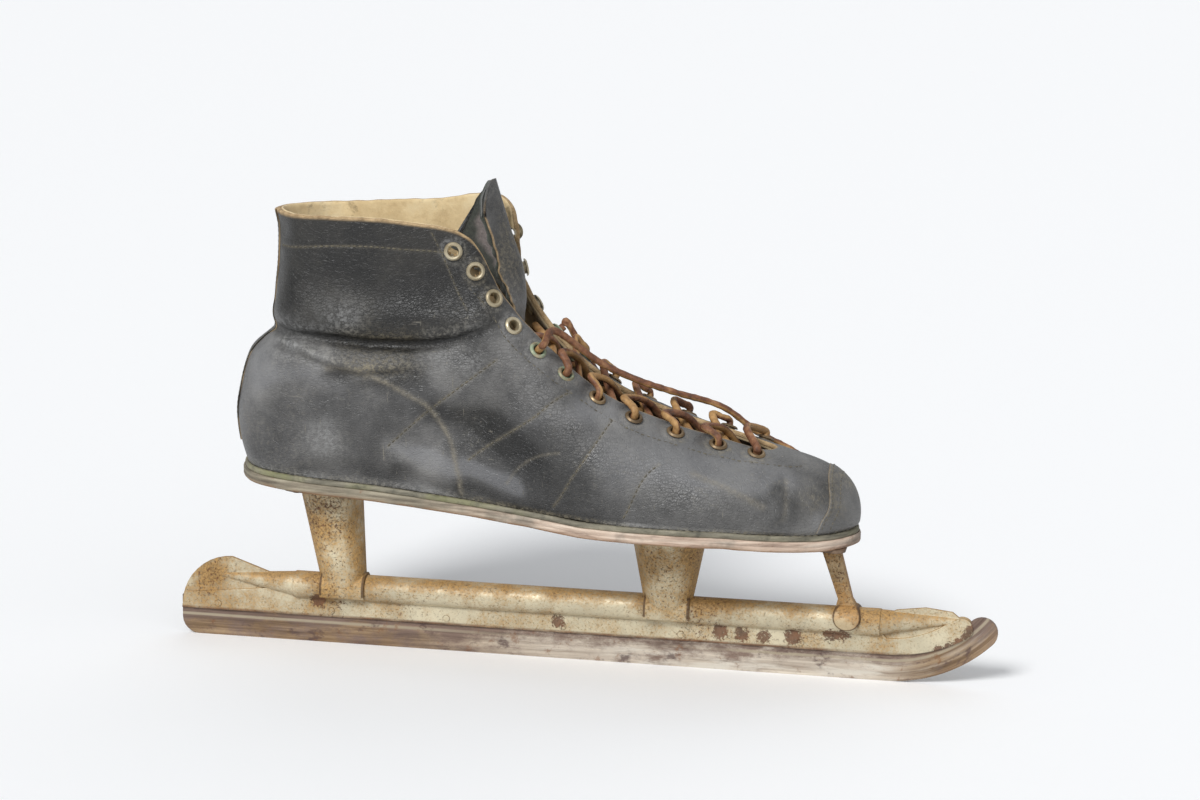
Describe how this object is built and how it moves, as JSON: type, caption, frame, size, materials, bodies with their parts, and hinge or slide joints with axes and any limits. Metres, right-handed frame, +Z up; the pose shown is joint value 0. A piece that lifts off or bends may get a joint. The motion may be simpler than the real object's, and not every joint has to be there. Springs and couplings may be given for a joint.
{
  "type": "antique speed skate",
  "caption": "Low laced leather boot riveted through cups and a toe brace to a tubular steel frame that holds a long thin runner.",
  "frame": {"origin": "on the ice, under the middle of the runner's flat edge", "axes": "+X to the toe, +Y to the wearer's left, +Z up"},
  "size_m": [0.38, 0.0945, 0.2208],
  "materials": {
    "runner_steel": "dark rusted steel with a paler ground strip",
    "plated_steel": "dull worn nickel plate with rust",
    "rusty_steel": "brown rusted steel",
    "sole_leather": "worn sole leather edge",
    "welt_leather": "pale worn welt",
    "tan_leather": "rough tan flesh side",
    "black_leather": "worn scuffed black",
    "felt": "matted felt",
    "eyelet_brass": "aged, with some verdigris",
    "lace_leather": "brown rawhide"
  },
  "bodies": {
    "boot": {"runner": "runner_steel", "frame_tube": "plated_steel", "runner_pins": "rusty_steel", "heel_cup": "plated_steel", "sole_cup": "plated_steel", "toe_brace": "plated_steel", "heel_plate": "rusty_steel", "sole_plate": "rusty_steel", "toe_plate": "rusty_steel", "heel_rivets": "rusty_steel", "sole_rivets": "rusty_steel", "toe_rivets": "rusty_steel", "outsole": "sole_leather", "welt": "welt_leather", "shank": "rusty_steel", "insole": "tan_leather", "quarter_right": "black_leather", "quarter_left": "black_leather", "toe_cap": "black_leather", "backstay": "black_leather", "heel_counter": "tan_leather", "lining_right": "tan_leather", "lining_left": "tan_leather", "tongue_base": "black_leather", "eyelets_right": "eyelet_brass", "eyelets_left": "eyelet_brass", "lace": "lace_leather", "lace_end_right": "lace_leather", "lace_end_left": "lace_leather"},
    "tongue": {"tongue_flap": "black_leather", "tongue_felt": "felt"}
  },
  "joints": [
    {"name": "tongue_fold", "type": "hinge", "parent": "boot", "child": "tongue", "pos_m": [-0.03, 0, 0.15701], "axis": [0, 1, 0], "range_deg": [-6, 50]}
  ]
}
